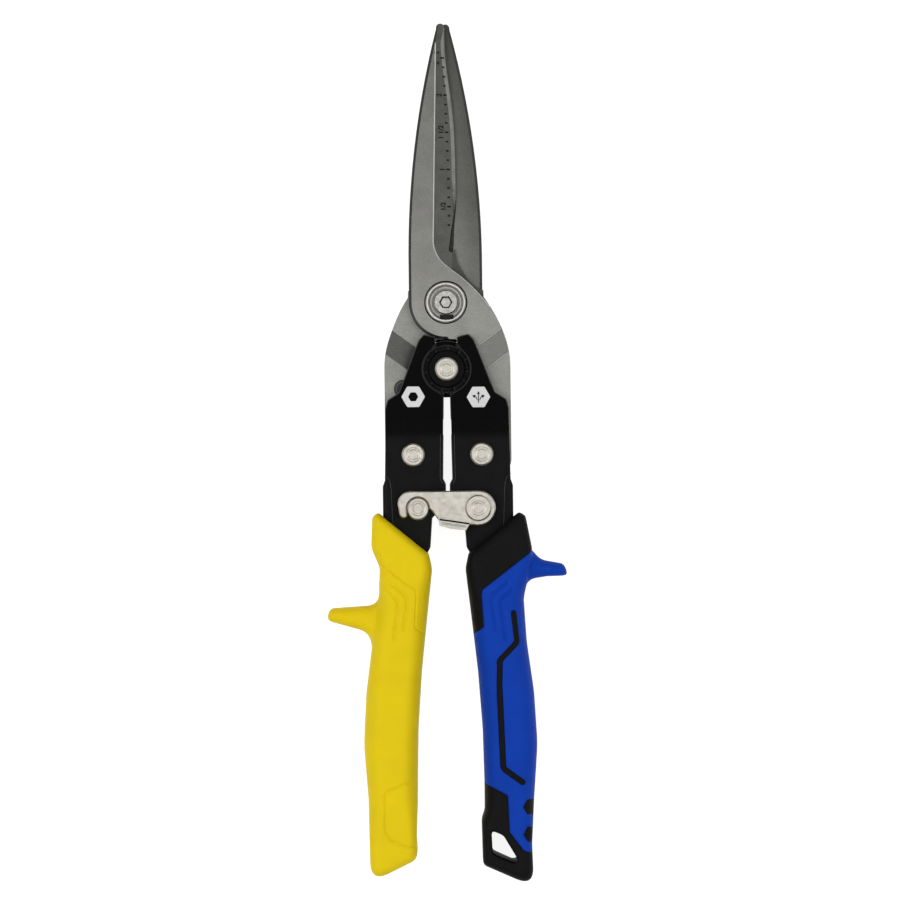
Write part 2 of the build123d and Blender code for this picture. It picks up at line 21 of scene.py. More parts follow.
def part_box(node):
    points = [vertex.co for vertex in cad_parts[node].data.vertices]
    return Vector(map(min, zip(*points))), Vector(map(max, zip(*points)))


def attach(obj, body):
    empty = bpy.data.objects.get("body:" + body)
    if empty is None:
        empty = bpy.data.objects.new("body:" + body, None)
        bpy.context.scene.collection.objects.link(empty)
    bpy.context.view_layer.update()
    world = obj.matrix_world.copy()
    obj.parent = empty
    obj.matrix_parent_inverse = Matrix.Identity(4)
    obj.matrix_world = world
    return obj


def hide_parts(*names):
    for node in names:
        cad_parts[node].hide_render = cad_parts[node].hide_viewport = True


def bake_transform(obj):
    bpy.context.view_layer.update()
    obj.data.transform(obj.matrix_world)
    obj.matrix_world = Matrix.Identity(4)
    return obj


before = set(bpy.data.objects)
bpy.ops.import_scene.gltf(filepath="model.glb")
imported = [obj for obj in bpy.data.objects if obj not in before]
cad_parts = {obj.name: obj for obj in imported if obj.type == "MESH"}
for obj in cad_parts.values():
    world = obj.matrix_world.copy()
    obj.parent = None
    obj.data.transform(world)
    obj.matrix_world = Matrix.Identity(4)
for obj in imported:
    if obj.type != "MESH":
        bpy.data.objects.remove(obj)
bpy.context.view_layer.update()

MM = 0.001
MIDDLE = (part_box("right_grip_base")[0].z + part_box("right_grip_base")[1].z) / 2 / MM
HALF_THICK = MIDDLE


# ---- camera, floor and light ---------------------------------------------------------------
# The view is square down on the tool, through a long lens, with the tool leaning a little left.
VIEW_WIDTH = 308.2
VIEW_CENTRE = (0.87, 0.69)
LEAN = math.radians(0.65)
LENS = 200.0
SENSOR = 36.0
WIDTH_PLANE = 2          # VIEW_WIDTH is measured this far above the middle plane
FLOOR_HALF = 3.0         # metres
FLOOR_DROP = 0.4         # keeps the floor clear of the grips' undersides


def camera():
    data = bpy.data.cameras.new("camera")
    data.lens = LENS
    data.sensor_width = SENSOR
    data.clip_start = 0.05
    data.clip_end = 20
    eye = bpy.data.objects.new("camera", data)
    distance = VIEW_WIDTH * LENS / SENSOR + MIDDLE + WIDTH_PLANE
    eye.location = (VIEW_CENTRE[0] * MM, VIEW_CENTRE[1] * MM, distance * MM)
    eye.rotation_euler = (0, 0, -LEAN)
    bpy.context.scene.collection.objects.link(eye)
    bpy.context.scene.camera = eye


def softbox(name, place, target, size, power):
    """An area light, facing its target."""
    data = bpy.data.lights.new(name, "AREA")
    data.shape = "RECTANGLE"
    data.size, data.size_y = size
    data.energy = power
    lamp = bpy.data.objects.new(name, data)
    lamp.location = place
    lamp.rotation_euler = (Vector(target) - Vector(place)).to_track_quat("-Z", "Y").to_euler()
    bpy.context.scene.collection.objects.link(lamp)


def sky():
    """An even pale surround, dimmer towards the horizon, as in a tent with a dark skirt."""
    world = bpy.data.worlds.new("studio")
    bpy.context.scene.world = world
    world.use_nodes = True
    nodes = world.node_tree.nodes
    links = world.node_tree.links
    place = nodes.new("ShaderNodeTexCoord")
    split = nodes.new("ShaderNodeSeparateXYZ")
    ramp = nodes.new("ShaderNodeValToRGB")
    ramp.color_ramp.elements[0].position = 0.05
    ramp.color_ramp.elements[0].color = (0.06, 0.06, 0.06, 1)
    ramp.color_ramp.elements[1].position = 0.75
    ramp.color_ramp.elements[1].color = (0.42, 0.42, 0.415, 1)
    links.new(place.outputs["Generated"], split.inputs[0])
    links.new(split.outputs["Z"], ramp.inputs[0])
    links.new(ramp.outputs[0], nodes["Background"].inputs[0])
    nodes["Background"].inputs[1].default_value = 1.0


def floor():
    """A light table: a pale floor that glows a little, as the photo's white ground does."""
    mesh = bpy.data.meshes.new("floor")
    signs = ((-1, -1), (1, -1), (1, 1), (-1, 1))
    corners = [(u * FLOOR_HALF, v * FLOOR_HALF, -FLOOR_DROP * MM) for u, v in signs]
    mesh.from_pydata(corners, [], [(0, 1, 2, 3)])
    ground = bpy.data.objects.new("floor", mesh)
    bpy.context.scene.collection.objects.link(ground)
    r = Recipe("light_table")
    r.shader.inputs["Base Color"].default_value = (0.3, 0.3, 0.3, 1)
    r.link(r.spread(r.noise(0.05), 0.75, 0.85), r.shader.inputs["Roughness"])
    r.shader.inputs["Specular IOR Level"].default_value = 0.0
    r.shader.inputs["Emission Color"].default_value = (1, 1, 1, 1)
    r.shader.inputs["Emission Strength"].default_value = 0.9
    mesh.materials.append(r.material)


# ---- materials -----------------------------------------------------------------------------
class Recipe:
    """Short names for adding nodes to a new material's tree."""

    def __init__(self, name):
        self.material = bpy.data.materials.new(name)
        self.material.use_nodes = True
        self.tree = self.material.node_tree
        self.shader = self.tree.nodes["Principled BSDF"]
        self.place = self.tree.nodes.new("ShaderNodeTexCoord").outputs["Object"]

    def add(self, kind, **settings):
        node = self.tree.nodes.new(kind)
        for key, value in settings.items():
            setattr(node, key, value)
        return node

    def link(self, out, into):
        self.tree.links.new(out, into)

    def calc(self, operation, *values):
        """A sum on sockets and numbers."""
        node = self.add("ShaderNodeMath", operation=operation)
        for socket, value in zip(node.inputs, values):
            if isinstance(value, float):
                socket.default_value = value
            else:
                self.link(value, socket)
        return node.outputs[0]

    def finish(self, base, rough, below, above, per_mm):
        """Sets the base colour, and a roughness that wanders about its level."""
        self.link(base, self.shader.inputs["Base Color"])
        uneven = self.spread(self.noise(per_mm), rough - below, rough + above)
        self.link(uneven, self.shader.inputs["Roughness"])

    def noise(self, per_mm, detail=3.0, stretch=(1, 1, 1)):
        """Noise with a grain of so many waves to the millimetre."""
        scaled = self.add("ShaderNodeMapping")
        scaled.inputs["Scale"].default_value = [s * per_mm / MM for s in stretch]
        self.link(self.place, scaled.inputs["Vector"])
        texture = self.add("ShaderNodeTexNoise")
        texture.inputs["Scale"].default_value = 1.0
        texture.inputs["Detail"].default_value = detail
        self.link(scaled.outputs[0], texture.inputs["Vector"])
        return texture.outputs["Fac"]

    def spread(self, value, low, high, source=(0.3, 0.7)):
        """The value, from its usual range to low..high."""
        node = self.add("ShaderNodeMapRange")
        node.inputs["From Min"].default_value = source[0]
        node.inputs["From Max"].default_value = source[1]
        node.inputs["To Min"].default_value = low
        node.inputs["To Max"].default_value = high
        self.link(value, node.inputs["Value"])
        return node.outputs["Result"]

    def blend(self, share, first, second):
        """A colour between two, each a colour or a socket."""
        node = self.add("ShaderNodeMix", data_type="RGBA")
        self.link(share, node.inputs["Factor"])
        for socket, colour in ((node.inputs[6], first), (node.inputs[7], second)):
            if isinstance(colour, tuple):
                socket.default_value = (*colour, 1)
            else:
                self.link(colour, socket)
        return node.outputs[2]

    def bump(self, height, distance):
        node = self.add("ShaderNodeBump")
        node.inputs["Distance"].default_value = distance * MM
        node.inputs["Strength"].default_value = 1.0
        self.link(height, node.inputs["Height"])
        self.link(node.outputs[0], self.shader.inputs["Normal"])

    def along(self, axis):
        """The place along one axis, in millimetres."""
        split = self.add("ShaderNodeSeparateXYZ")
        self.link(self.place, split.inputs[0])
        return self.calc("MULTIPLY", split.outputs[axis], 1 / MM)

    def profile(self, value, stops):
        """A value that runs through (place, level) stops."""
        low, high = stops[0][0], stops[-1][0]
        ramp = self.add("ShaderNodeValToRGB")
        held = ramp.color_ramp.elements
        while len(held) < len(stops):
            held.new(0.5)
        for element, (spot, level) in zip(held, stops):
            element.position = (spot - low) / (high - low)
            element.color = (level, level, level, 1)
        self.link(self.spread(value, 0, 1, source=(low, high)), ramp.inputs[0])
        return ramp.outputs[0]

    def product(self, *values):
        """The values multiplied together."""
        out = values[0]
        for value in values[1:]:
            out = self.calc("MULTIPLY", out, value)
        return out

    def scaled(self, colour, level):
        """A colour, or a colour's socket, brightened or darkened by a level."""
        node = self.add("ShaderNodeVectorMath", operation="SCALE")
        if isinstance(colour, tuple):
            node.inputs[0].default_value = colour
        else:
            self.link(colour, node.inputs[0])
        self.link(level, node.inputs["Scale"])
        return node.outputs[0]

    def upward(self):
        """How far the true face turns up, from -1 to 1. The joints turn about Z and keep it."""
        split = self.add("ShaderNodeSeparateXYZ")
        self.link(self.add("ShaderNodeNewGeometry").outputs["True Normal"], split.inputs[0])
        return split.outputs["Z"]


STEEL_TINT = (1.0, 0.995, 0.93)


def shade(colour, factor):
    return tuple(min(1.0, c * factor) for c in colour)


def matt(name, colour, rough, grain=(2.0, 0.03), mottle=0.06, specular=0.5):
    """A moulded or painted surface: faint mottling, a fine grain, uneven gloss."""
    r = Recipe(name)
    share = r.spread(r.noise(0.12, 4.0), 0, 1)
    base = r.blend(share, shade(colour, 1 - mottle), shade(colour, 1 + mottle))
    r.finish(base, rough, 0.06, 0.06, 0.5)
    r.shader.inputs["Specular IOR Level"].default_value = specular
    r.bump(r.noise(grain[0], 2.0), grain[1])
    return r.material


def metal(name, colour, rough, grain=(3.0, 0.01)):
    """Bare or plated metal, faintly mottled, with a fine grain."""
    r = Recipe(name)
    share = r.spread(r.noise(grain[0], 4.0), 0, 1)
    base = r.blend(share, shade(colour, 0.92), shade(colour, 1.08))
    r.shader.inputs["Metallic"].default_value = 1.0
    r.finish(base, rough, 0.05, 0.07, 0.3)
    r.bump(r.noise(grain[0]), grain[1])
    return r.material


BLADE_ROUGH = 0.42


def blade_steel(name, along, across, low_flat_shade, slopes, wall_level):
    """Blasted flats, darker ground slopes and dark cut walls, with their level along the blade.

    The slopes and walls are darker partly by their own ground and cut finishes and partly by painted
    shade from how they face. along, across and low_flat_shade give the flats' level by Y, X and Z as
    painted light and shade, and slopes gives the ground slopes' level by Y, each as (place, level)
    stops.
    """
    r = Recipe(name)
    r.shader.inputs["Metallic"].default_value = 1.0
    up = r.upward()
    is_slope = r.spread(up, 1, 0, source=(0.975, 0.998))
    is_wall = r.spread(up, 1, 0, source=(0.6, 0.85))
    speckle = r.spread(r.noise(2.2, 5.0), 0.86, 1.14)
    cloud = r.spread(r.noise(0.16, 3.0), 0.92, 1.08)
    level = r.product(r.profile(r.along("Y"), along), r.profile(r.along("X"), across), speckle, cloud)
    level = r.product(level, r.profile(r.along("Z"), low_flat_shade))
    lines = r.spread(r.noise(1.2, 3.0, (0.35, 5.0, 1)), 0.85, 1.15)
    lines = r.product(lines, r.profile(r.along("Y"), slopes))
    flat_part = r.scaled(r.blend(is_wall, STEEL_TINT, shade(STEEL_TINT, wall_level)), level)
    ground = r.scaled(r.blend(is_wall, STEEL_TINT, shade(STEEL_TINT, wall_level)), lines)
    r.finish(r.blend(is_slope, flat_part, ground), BLADE_ROUGH, 0.04, 0.06, 0.25)
    r.bump(r.noise(3.0, 3.0), 0.012)
    return r.material


def machined(name, top, slope_share, wall_share, rough=0.25):
    """Turned bright steel: pale flats, with the slopes and walls darkened as painted shade from how
    they face.
    """
    r = Recipe(name)
    r.shader.inputs["Metallic"].default_value = 1.0
    up = r.upward()
    is_slope = r.spread(up, 1, 0, source=(0.95, 0.995))
    is_wall = r.spread(up, 1, 0, source=(0.2, 0.6))
    mottle = r.spread(r.noise(0.6, 3.0), 0.93, 1.07)
    base = r.blend(is_wall, r.blend(is_slope, top, shade(top, slope_share)), shade(top, wall_share))
    r.finish(r.scaled(base, mottle), rough, 0.05, 0.05, 0.6)
    r.bump(r.noise(1.5, 2.0), 0.004)
    return r.material


def dished(name, colour, levels, rough):
    """Turned bright steel whose level runs with its height: painted shade, darker down in the dish."""
    r = Recipe(name)
    r.shader.inputs["Metallic"].default_value = 1.0
    level = r.product(r.profile(r.along("Z"), levels), r.spread(r.noise(0.7, 3.0), 0.9, 1.1))
    r.finish(r.scaled(colour, level), rough, 0.05, 0.05, 0.6)
    r.bump(r.noise(1.5, 2.0), 0.004)
    return r.material


def pressed_enamel(name, levels, rough, specular):
    """Black enamel on pressed sheet, with a painted sheen that makes it a little paler on the lower
    panel.
    """
    r = Recipe(name)
    level = r.product(r.profile(r.along("Y"), levels), r.spread(r.noise(0.2, 4.0), 0.85, 1.15))
    r.finish(r.scaled((1, 1, 1), level), rough, 0.06, 0.06, 0.5)
    r.shader.inputs["Specular IOR Level"].default_value = specular
    r.bump(r.noise(1.2, 3.0), 0.012)
    return r.material


RING_PITCH = 0.85


def turned(name, colour, rough, centres):
    """Plated heads with faint rings round each of some axes."""
    r = Recipe(name)
    nearest = None
    for x, y in centres:
        apart = r.add("ShaderNodeVectorMath", operation="DISTANCE")
        in_plan = r.add("ShaderNodeVectorMath", operation="MULTIPLY")
        in_plan.inputs[1].default_value = (1, 1, 0)
        r.link(r.place, in_plan.inputs[0])
        r.link(in_plan.outputs[0], apart.inputs[0])
        apart.inputs[1].default_value = (x * MM, y * MM, 0)
        gap = apart.outputs["Value"]
        nearest = gap if nearest is None else r.calc("MINIMUM", nearest, gap)
    wave = r.calc("MULTIPLY", nearest, 2 * math.pi / (RING_PITCH * MM))
    soft = r.calc("MULTIPLY_ADD", r.calc("SINE", wave), 0.12, r.noise(1.2, 4.0))
    tone = r.spread(soft, 0, 1, source=(0.15, 0.85))
    r.shader.inputs["Metallic"].default_value = 1.0
    r.finish(r.blend(tone, shade(colour, 0.93), shade(colour, 1.05)), rough, 0.05, 0.06, 0.6)
    r.bump(soft, 0.006)
    return r.material


# ---- outlines ------------------------------------------------------------------------------
def rounded(corners, closed=True, chord=0.8):
    """A polyline whose corners, given as (x, y, radius), are turned on curves."""
    count = len(corners)
    out = []
    for i, (x, y, radius) in enumerate(corners):
        here = Vector((x, y))
        if radius == 0 or (not closed and i in (0, count - 1)):
            out.append(here)
            continue
        back = Vector(corners[i - 1][:2]) - here
        ahead = Vector(corners[(i + 1) % count][:2]) - here
        turn = math.pi - back.angle(ahead)
        reach = min(radius * math.tan(turn / 2), 0.48 * back.length, 0.48 * ahead.length)
        start = here + back.normalized() * reach
        end = here + ahead.normalized() * reach
        steps = max(2, math.ceil((end - start).length / chord))
        for k in range(steps + 1):
            t = k / steps
            out.append(start * (1 - t) ** 2 + here * 2 * t * (1 - t) + end * t ** 2)
    return dense(out, closed)


def dense(points, closed, step=1.0):
    """The polyline with no run longer than a step."""
    out = []
    ends = points[1:] + points[:1] if closed else points[1:]
    for a, b in zip(points, ends):
        parts = max(1, math.ceil((b - a).length / step))
        out += [a.lerp(b, k / parts) for k in range(parts)]
    if not closed:
        out.append(points[-1])
    return np.array([tuple(p) for p in out])


def stroke(corners, width):
    """The outline of a line of some width, with round ends."""
    line = rounded(corners, closed=False)
    ahead = np.gradient(line, axis=0)
    ahead /= np.linalg.norm(ahead, axis=1)[:, None]
    side = np.stack([-ahead[:, 1], ahead[:, 0]], 1) * width / 2
    caps = []
    for tip, way, across in ((line[-1], ahead[-1], side[-1]), (line[0], -ahead[0], -side[0])):
        bends = [math.radians(a) for a in (90, 60, 30, 0, -30, -60, -90)]
        caps.append([tip + across * math.sin(a) + way * width / 2 * math.cos(a) for a in bends])
    return np.concatenate([line[1:-1] + side[1:-1], caps[0], (line - side)[-2:0:-1], caps[1]])


def distance(points, line, closed=True):
    """How far each point lies from a polyline."""
    ends = np.roll(line, -1, 0) if closed else line[1:]
    starts = line if closed else line[:-1]
    run = ends - starts
    length2 = np.maximum((run ** 2).sum(1), 1e-12)
    best = np.full(len(points), np.inf)
    for lo in range(0, len(points), 2000):
        chunk = points[lo:lo + 2000]
        away = chunk[:, None] - starts[None]
        t = np.clip((away * run).sum(2) / length2, 0, 1)
        best[lo:lo + 2000] = np.sqrt(((away - t[..., None] * run) ** 2).sum(2)).min(1)
    return best


def inside(points, line):
    """Whether each point lies inside a closed polyline."""
    odd = np.zeros(len(points), bool)
    for (ax, ay), (bx, by) in zip(line, np.roll(line, -1, 0)):
        if ay == by:
            continue
        crosses = (ay > points[:, 1]) != (by > points[:, 1])
        odd ^= crosses & (points[:, 0] < (bx - ax) * (points[:, 1] - ay) / (by - ay) + ax)
    return odd


def beside(line, offsets, closed=True):
    """Points on both sides of a polyline, at given distances."""
    ahead = np.roll(line, -1, 0) - np.roll(line, 1, 0) if closed else np.gradient(line, axis=0)
    ahead /= np.maximum(np.linalg.norm(ahead, axis=1), 1e-9)[:, None]
    side = np.stack([-ahead[:, 1], ahead[:, 0]], 1)
    rows = []
    for gap in offsets:
        for way in (1, -1):
            spots = line + side * way * gap
            rows.append(spots[distance(spots, line, closed) > 0.93 * gap])
    return np.concatenate(rows)


class Scatter:
    """Points kept at least a gap apart, those given first taking precedence."""

    def __init__(self, cell=0.5):
        self.cell = cell
        self.cells = {}

    def take(self, points, gap):
        kept = []
        reach = math.ceil(gap / self.cell)
        for p in points:
            cx, cy = int(p[0] // self.cell), int(p[1] // self.cell)
            near = (
                q
                for ix in range(cx - reach, cx + reach + 1)
                for iy in range(cy - reach, cy + reach + 1)
                for q in self.cells.get((ix, iy), ())
            )
            if all((p[0] - q[0]) ** 2 + (p[1] - q[1]) ** 2 >= gap * gap for q in near):
                self.cells.setdefault((cx, cy), []).append(p)
                kept.append(p)
        return kept


def two_sided(plan, triangles, number):
    """Top and underside faces over a plan, turned outwards, and the edges round them."""
    count = len(number)
    faces, rim = [], {}
    for a, b, c in triangles:
        pa, pb, pc = plan[a], plan[b], plan[c]
        if (pb[0] - pa[0]) * (pc[1] - pa[1]) < (pb[1] - pa[1]) * (pc[0] - pa[0]):
            b, c = c, b
        a, b, c = number[a], number[b], number[c]
        faces += [(a, b, c), (a + count, c + count, b + count)]
        for u, v in ((a, b), (b, c), (c, a)):
            if (v, u) in rim:
                del rim[(v, u)]
            else:
                rim[(u, v)] = True
    return faces, rim


def new_piece(name, verts, faces, body, material, smooth=40):
    """A mesh piece from points in millimetres, riding on a body if one is given."""
    mesh = bpy.data.meshes.new(name)
    mesh.from_pydata([tuple(c * MM for c in v) for v in verts], [], faces)
    mesh.validate()
    mesh.polygons.foreach_set("use_smooth", [True] * len(mesh.polygons))
    mesh.set_sharp_from_angle(angle=math.radians(smooth))
    mesh.materials.append(material)
    piece = bpy.data.objects.new(name, mesh)
    bpy.context.scene.collection.objects.link(piece)
    if body:
        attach(piece, body)
    return piece


# ---- grips ---------------------------------------------------------------------------------
# Outlines of the right-hand grip, as (x, y, corner radius). The left one is their mirror image.
INNER_SIDE = [(5.7, -40.0, 8), (7.4, -55.0, 80), (9.6, -75.0, 80), (11.0, -95.0, 80)]
OUTER_SIDE = [(28.3, -119.0, 60), (29.7, -100.0, 60), (28.7, -82.0, 60), (26.4, -65.0, 60)]

RIGHT_GRIP = [
    (6.9, -34.6, 2.5), *INNER_SIDE, (11.4, -113.0, 3), (11.4, -122.6, 6), (10.3, -126.0, 6),
    (10.6, -141.1, 2.4), (27.9, -148.8, 4.2), (27.4, -134.0, 30), *OUTER_SIDE,
    (25.5, -50.0, 5), (28.4, -38.0, 5), (28.5, -33.0, 5), (26.4, -22.0, 1.6), (24.4, -20.8, 1.2),
]
LEFT_GRIP = [
    (6.9, -34.6, 2.5), *INNER_SIDE, (11.4, -113.0, 30), (11.5, -120.0, 20), (12.0, -131.0, 20),
    (11.7, -138.9, 4), (27.9, -146.8, 4.5), (28.2, -126.0, 20), *OUTER_SIDE,
    (24.0, -50.0, 20), (23.6, -39.2, 6), (26.4, -32.5, 7), (26.0, -22.0, 2.4), (24.2, -20.4, 1.6),
]
RIGHT_GUARD = [
    (21.0, -34.0, 0), (28.5, -33.8, 1.5), (31.6, -37.3, 6), (39.4, -38.7, 2.0), (41.0, -42.7, 2.2),
    (33.5, -42.9, 6), (26.6, -43.9, 9), (25.2, -53.0, 8), (21.0, -54.0, 0),
]
LEFT_GUARD = [
    (21.0, -43.0, 0), (23.9, -43.0, 4), (24.0, -52.2, 7), (41.0, -53.2, 2.2), (42.0, -57.2, 2.2),
    (27.4, -61.4, 9), (26.2, -69.0, 8), (21.0, -69.0, 0),
]

# what the soft cover takes of the grip, and the black parts let into the right-hand one
COVER_TOP = [(50, -17.6, 0), (28.6, -34.0, 0), (11.4, -47.1, 0.8), (11.1, -49.0, 0.8)]
COVER_TOP += [(11.8, -59.8, 0.8), (0, -68.0, 0)]
RIGHT_COVER = COVER_TOP + [
    (0, -107.0, 0), (11.3, -113.0, 0), (19.3, -117.2, 1.0), (19.8, -129.8, 1.0),
    (24.9, -136.6, 3.0), (50, -137.6, 0),
]
LEFT_COVER = COVER_TOP + [
    (0, -112.7, 0), (15.4, -112.9, 3), (22.7, -115.5, 3), (22.7, -130.0, 3),
    (20.3, -132.3, 3), (15.1, -134.4, 3), (0, -134.4, 0), (0, -160.0, 0), (50, -160.0, 0),
]
RIB = [
    (21.9, -55.1, 0), (23.0, -65.0, 1.8), (17.0, -71.2, 1.8), (16.8, -80.0, 40),
    (17.8, -108.0, 1.8), (24.4, -112.8, 0),
]
RIB_WIDTH = 2.0
HEXAGONS = [(27.4, -121.3), (27.4, -130.6)]
HEXAGON_R = 3.0
HANG_HOLE = [
    (13.6, -129.3, 0.8), (13.9, -137.0, 1.6), (20.8, -140.2, 2), (22.7, -139.7, 0.8), (17.6, -131.0, 3),
]
CHEVRONS = [
    [(19.8, -44.6, 0), (14.6, -49.0, 1.2), (14.3, -51.0, 1.2), (15.7, -60.7, 0)],
    [(21.5, -47.2, 0), (17.6, -50.4, 1.2), (17.6, -53.7, 1.2), (19.0, -64.2, 0)],
]

# heights, from the grip's middle plane, and the radii of rounded edges
SIDE_ROUND = 5.8
SIDE_EDGE = 3.6
GUARD_ROUND = 3.6
GUARD_EDGE = 3.0
GUARD_HALF = 6.6
HOLE_ROUND = 1.8
RIB_RISE = 0.25
PARTING_GROOVE = (0.5, 0.35)     # half width, depth
CHEVRON_GROOVE = (0.75, 0.45)
# distances from an outline or a groove at which the plan has rows of points, and its spacing
EDGE_RINGS = (0.2, 0.5, 0.9, 1.4, 2.0, 2.8, 3.7, 4.8, 6.0)
GROOVE_RINGS = (0.22, 0.45, 0.75)
GRID = 1.15


def hexagon(centre, radius):
    """A hexagon with slightly soft corners."""
    angles = [math.radians(60 * k) for k in range(6)]
    x, y = centre
    corners = [(x + radius * math.cos(a), y + radius * math.sin(a), 0.5) for a in angles]
    return rounded(corners, chord=0.3)


def smooth_max(a, b, reach):
    t = np.clip(0.5 + 0.5 * (a - b) / reach, 0, 1)
    return b * (1 - t) + a * t + reach * t * (1 - t)


def shoulder(depth_in, radius, edge, crest):
    """Height of a rounded-over edge, at some distance in from the outline."""
    t = np.clip(1 - depth_in / radius, 0, 1)
    return edge + (crest - edge) * np.sqrt(1 - t * t)


def groove(gap, half_width, depth):
    return depth * np.cos(np.clip(gap / half_width, 0, 1) * math.pi / 2) ** 2


class Grip:
    """A two-shot grip: a plan divided into triangles, lifted to a rounded top and underside."""

    def __init__(self, side, body, guard, cover, hole, rib, hexagons):
        flip = np.array([side, 1.0])
        self.body = rounded(body) * flip
        self.guard = rounded(guard) * flip
        self.cover = rounded(cover) * flip
        self.chevrons = [rounded(c, closed=False) * flip for c in CHEVRONS]
        self.holes = [rounded(hole) * flip] if hole else []
        self.ribs = [stroke(rib, RIB_WIDTH) * flip] if rib else []
        self.hexagons = [hexagon(c, HEXAGON_R) * flip for c in hexagons]
        self.divide()
        self.lift()

    def outer(self, points):
        """Whether each point lies on the grip."""
        whole = inside(points, self.body) | inside(points, self.guard)
        for hole in self.holes:
            whole &= ~inside(points, hole)
        return whole

    def divide(self):
        """Triangles over the plan, finer by its edges and grooves."""
        verts, edges = [], []
        closed = [self.body, self.guard, self.cover, *self.hexagons, *self.holes, *self.ribs]
        for curve in closed:
            first = len(verts)
            verts += list(curve)
            edges += [(first + i, first + (i + 1) % len(curve)) for i in range(len(curve))]
        for curve in self.chevrons:
            first = len(verts)
            verts += list(curve)
            edges += [(first + i, first + i + 1) for i in range(len(curve) - 1)]
        spots = Scatter()
        spots.take(verts, 0.0)
        extra = []
        for curve in (self.cover, *self.hexagons, *self.ribs):
            extra += spots.take(beside(curve, GROOVE_RINGS), 0.2)
        for curve in self.chevrons:
            extra += spots.take(beside(curve, GROOVE_RINGS, closed=False), 0.2)
        for ring in EDGE_RINGS:
            for curve in (self.body, self.guard, *self.holes):
                extra += spots.take(beside(curve, (ring,)), min(0.6, 0.2 + ring / 3))
        lo, hi = self.body.min(0), self.body.max(0)
        xs = np.arange(lo[0], hi[0], GRID)
        ys = np.arange(lo[1], hi[1], GRID * 0.87)
        grid = [(x + GRID / 2 * (j % 2), y) for j, y in enumerate(ys) for x in xs]
        extra += spots.take(np.array(grid), 0.75)
        extra = np.array(extra)
        extra = extra[self.outer(extra)]
        points = [Vector(p) for p in verts] + [Vector(p) for p in extra]
        coords, _, faces, _, _, _ = delaunay_2d_cdt(points, edges, [], 0, 1e-4)
        self.plan = np.array([tuple(c) for c in coords])
        self.faces = np.array([f for f in faces if len(f) == 3])
        middles = self.plan[self.faces].mean(1)
        self.faces = self.faces[self.outer(middles)]
        middles = self.plan[self.faces].mean(1)
        self.soft = inside(middles, self.cover)
        for curve in self.hexagons + self.ribs:
            self.soft &= ~inside(middles, curve)

    def lift(self):
        """The height of each point of the plan over the middle plane."""
        p = self.plan
        y = p[:, 1]
        ends = np.clip((y + 50) / 16, 0, 1) + np.clip((-118 - y) / 12, 0, 1)
        radius = SIDE_ROUND - 2.6 * ends
        edge = SIDE_EDGE + 3.4 * ends
        crest = HALF_THICK - 0.9 * np.clip((y + 50) / 25, 0, 1) - 0.5 * np.clip((-110 - y) / 25, 0, 1)
        within = np.where(inside(p, self.body), distance(p, self.body), 0)
        top = shoulder(within, radius, edge, crest)
        top = np.where(inside(p, self.body) | (distance(p, self.body) < 1e-3), top, 0)
        wing_in = np.where(inside(p, self.guard), distance(p, self.guard), 0)
        wing = shoulder(wing_in, GUARD_ROUND, GUARD_EDGE, GUARD_HALF)
        wing = np.where(inside(p, self.guard) | (distance(p, self.guard) < 1e-3), wing, 0)
        top = smooth_max(top, wing, 1.6)
        for hole in self.holes:
            lip = shoulder(distance(p, hole), HOLE_ROUND, HALF_THICK - 2.4, HALF_THICK)
            top = np.minimum(top, lip)
        parting = distance(p, self.cover)
        for curve in self.hexagons:
            parting = np.minimum(parting, distance(p, curve))
        top -= groove(parting, *PARTING_GROOVE)
        for rib in self.ribs:
            ribbed = inside(p, rib)
            gap = distance(p, rib)
            crown = RIB_RISE * np.sqrt(np.clip(gap / 0.6, 0, 1))
            top += np.where(ribbed, crown, -groove(gap, 0.4, 0.2))
        for curve in self.chevrons:
            top -= groove(distance(p, curve, closed=False), *CHEVRON_GROOVE)
        self.top = top

    def piece(self, name, soft, body, material, slot, replaces):
        """The solid of the soft or the hard part."""
        faces = self.faces[self.soft == soft]
        used = np.unique(faces)
        number = {v: i for i, v in enumerate(used)}
        count = len(used)
        verts = [(*self.plan[v], MIDDLE + self.top[v]) for v in used]
        verts += [(*self.plan[v], MIDDLE - self.top[v]) for v in used]
        tris, rim = two_sided(self.plan, faces, number)
        levels = (0.7, 0.35, 0.05, 0.0, -0.05, -0.35, -0.7)  # of the side wall, as shares of its height
        column = {}
        for u, v in rim:
            for w in (u, v):
                if w in column:
                    continue
                rows = [w]
                x, y, z = verts[w]
                for t in levels:
                    rows.append(len(verts))
                    verts.append((x, y, MIDDLE + (z - MIDDLE) * t))
                rows.append(w + count)
                column[w] = rows
            cu, cv = column[u], column[v]
            for k in range(len(levels) + 1):
                tris.append((cu[k], cu[k + 1], cv[k + 1], cv[k]))
        piece = new_piece(name, verts, tris, body, material)
        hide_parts(replaces)
        return piece


